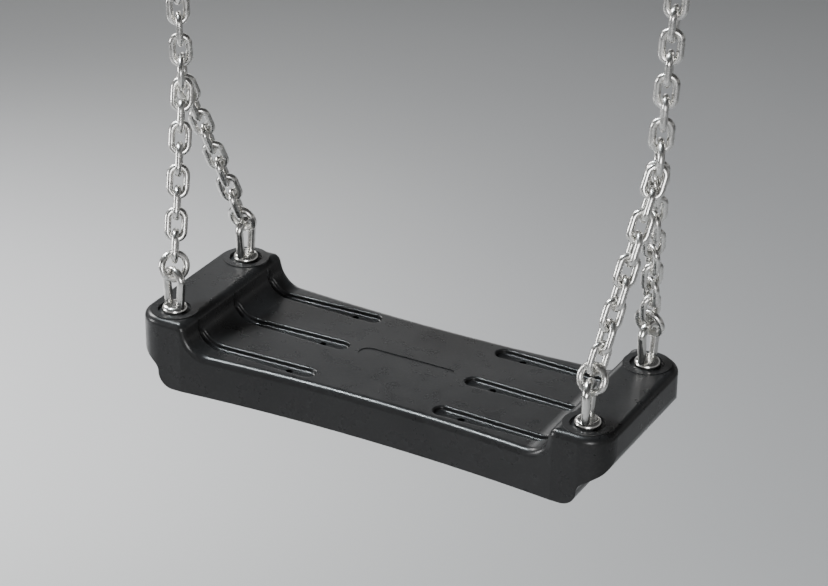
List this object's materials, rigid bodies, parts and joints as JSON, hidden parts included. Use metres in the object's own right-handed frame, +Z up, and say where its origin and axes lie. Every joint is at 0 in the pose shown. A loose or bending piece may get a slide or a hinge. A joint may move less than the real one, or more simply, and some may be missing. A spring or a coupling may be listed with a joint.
{
  "type": "swing seat with chain suspension",
  "caption": "Flat moulded-rubber safety swing seat with raised ends, hung by a chain leg at each corner from two beam hangers.",
  "frame": {"origin": "centre of the rectangle of beam bolts, on the upper faces of the hanger plates", "axes": "+Z up, out of the plates into the beam; X along the beam and the long way of the seat; the seat swings to and fro along Y and the sitter faces -Y"},
  "size_m": [0.531, 0.166, 0.5577],
  "materials": {
    "black_rubber": "satin",
    "core_steel": "matte",
    "chain_steel": "polished",
    "eye_steel": "polished",
    "galvanised_steel": "satin",
    "zinc_steel": "satin",
    "nylon": "satin",
    "black_nylon": "satin"
  },
  "bodies": {
    "beam_hangers": {"hanger_bracket_l": "galvanised_steel", "pivot_bolt_l": "zinc_steel", "pivot_nut_l": "zinc_steel", "hanger_bracket_r": "galvanised_steel", "pivot_bolt_r": "zinc_steel", "pivot_nut_r": "zinc_steel"},
    "yoke_l": {"swing_yoke_l": "galvanised_steel", "pivot_bush_l": "nylon"},
    "upper_l": {"shackle_l": "chain_steel", "shackle_pin_l": "zinc_steel", "shackle_nut_l": "zinc_steel", "upper_chain_l": "chain_steel"},
    "upper_end_body_l": {"upper_end_l": "chain_steel"},
    "heads_l": {"junction_link_l": "chain_steel", "leg_head_lf": "chain_steel", "leg_head_lr": "chain_steel"},
    "legs_l": {"leg_chain_lf": "chain_steel", "leg_chain_lr": "chain_steel", "leg_ring_lf": "chain_steel", "leg_ring_lr": "chain_steel"},
    "yoke_r": {"swing_yoke_r": "galvanised_steel", "pivot_bush_r": "nylon"},
    "upper_r": {"shackle_r": "chain_steel", "shackle_pin_r": "zinc_steel", "shackle_nut_r": "zinc_steel", "upper_chain_r": "chain_steel"},
    "upper_end_body_r": {"upper_end_r": "chain_steel"},
    "heads_r": {"junction_link_r": "chain_steel", "leg_head_rf": "chain_steel", "leg_head_rr": "chain_steel"},
    "legs_r": {"leg_chain_rf": "chain_steel", "leg_chain_rr": "chain_steel", "leg_ring_rf": "chain_steel", "leg_ring_rr": "chain_steel"},
    "seat": {"seat_rubber": "black_rubber", "core_plate": "core_steel", "seat_washers": "zinc_steel", "eye_bush_lf": "black_nylon", "eye_bush_lr": "black_nylon", "eye_bush_rf": "black_nylon", "eye_bush_rr": "black_nylon"},
    "eye_body_lf": {"eye_lf": "eye_steel", "eye_nut_lf": "zinc_steel"},
    "eye_body_lr": {"eye_lr": "eye_steel", "eye_nut_lr": "zinc_steel"},
    "eye_body_rf": {"eye_rf": "eye_steel", "eye_nut_rf": "zinc_steel"},
    "eye_body_rr": {"eye_rr": "eye_steel", "eye_nut_rr": "zinc_steel"}
  },
  "joints": [
    {"name": "swing", "type": "hinge", "parent": "beam_hangers", "child": "yoke_l", "pos_m": [-0.234, 0, -0.03], "axis": [1, 0, 0], "range_deg": [-60, 60]},
    {"name": "swing_right", "type": "hinge", "parent": "beam_hangers", "child": "yoke_r", "pos_m": [0.234, 0, -0.03], "axis": [1, 0, 0], "range_deg": [-61, 61]},
    {"name": "sway", "type": "hinge", "parent": "yoke_l", "child": "upper_l", "pos_m": [-0.234, 0, -0.068], "axis": [0, 1, 0], "range_deg": [-7, 7]},
    {"name": "sway_right", "type": "hinge", "parent": "yoke_r", "child": "upper_r", "pos_m": [0.234, 0, -0.068], "axis": [0, 1, 0], "range_deg": [-8.14, 8.14]},
    {"name": "end_level_left", "type": "hinge", "parent": "upper_l", "child": "upper_end_body_l", "pos_m": [-0.22532, 0, -0.264], "axis": [0, 1, 0], "range_deg": [-7.58, 7.58]},
    {"name": "end_level_right", "type": "hinge", "parent": "upper_r", "child": "upper_end_body_r", "pos_m": [0.22547, 0, -0.24384], "axis": [0, 1, 0], "range_deg": [-8.42, 8.42]},
    {"name": "rock", "type": "hinge", "parent": "upper_end_body_l", "child": "heads_l", "pos_m": [-0.22448, 0, -0.28492], "axis": [0.999, 0, 0.0452], "range_deg": [-12, 12]},
    {"name": "leg_sway", "type": "hinge", "parent": "heads_l", "child": "legs_l", "pos_m": [-0.22094, 0, -0.32037], "axis": [0, 1, 0], "range_deg": [-7, 7]},
    {"name": "seat_level", "type": "hinge", "parent": "legs_l", "child": "seat", "pos_m": [-0.2, 0, -0.459], "axis": [0, 1, 0], "range_deg": [-7.99, 7.99]},
    {"name": "leg_sway_right", "type": "hinge", "parent": "seat", "child": "legs_r", "pos_m": [0.2, 0, -0.459], "axis": [0, 1, 0], "range_deg": [-7.11, 7.11]},
    {"name": "heads_level_right", "type": "hinge", "parent": "legs_r", "child": "heads_r", "pos_m": [0.22121, 0, -0.30032], "axis": [0, 1, 0], "range_deg": [-6.42, 6.42]},
    {"name": "swivel_lf", "type": "hinge", "parent": "seat", "child": "eye_body_lf", "pos_m": [-0.2, -0.0585, -0.492], "axis": [0, 0, 1], "range_deg": [-8, 8]},
    {"name": "swivel_lr", "type": "hinge", "parent": "seat", "child": "eye_body_lr", "pos_m": [-0.2, 0.0585, -0.492], "axis": [0, 0, 1], "range_deg": [-8, 8]},
    {"name": "swivel_rf", "type": "hinge", "parent": "seat", "child": "eye_body_rf", "pos_m": [0.2, -0.0585, -0.492], "axis": [0, 0, 1], "range_deg": [-8, 8]},
    {"name": "swivel_rr", "type": "hinge", "parent": "seat", "child": "eye_body_rr", "pos_m": [0.2, 0.0585, -0.492], "axis": [0, 0, 1], "range_deg": [-8, 8]}
  ],
  "couplings": [
    {"joint": "swing_right", "follows": "swing", "ratio": 1},
    {"joint": "sway_right", "follows": "sway", "ratio": 1.1199},
    {"joint": "end_level_left", "follows": "sway", "ratio": -1.0407},
    {"joint": "end_level_right", "follows": "sway", "ratio": -1.1605},
    {"joint": "seat_level", "follows": "leg_sway", "ratio": -1.0985},
    {"joint": "leg_sway_right", "follows": "leg_sway", "ratio": 0.97331},
    {"joint": "heads_level_right", "follows": "leg_sway", "ratio": -0.87477}
  ]
}
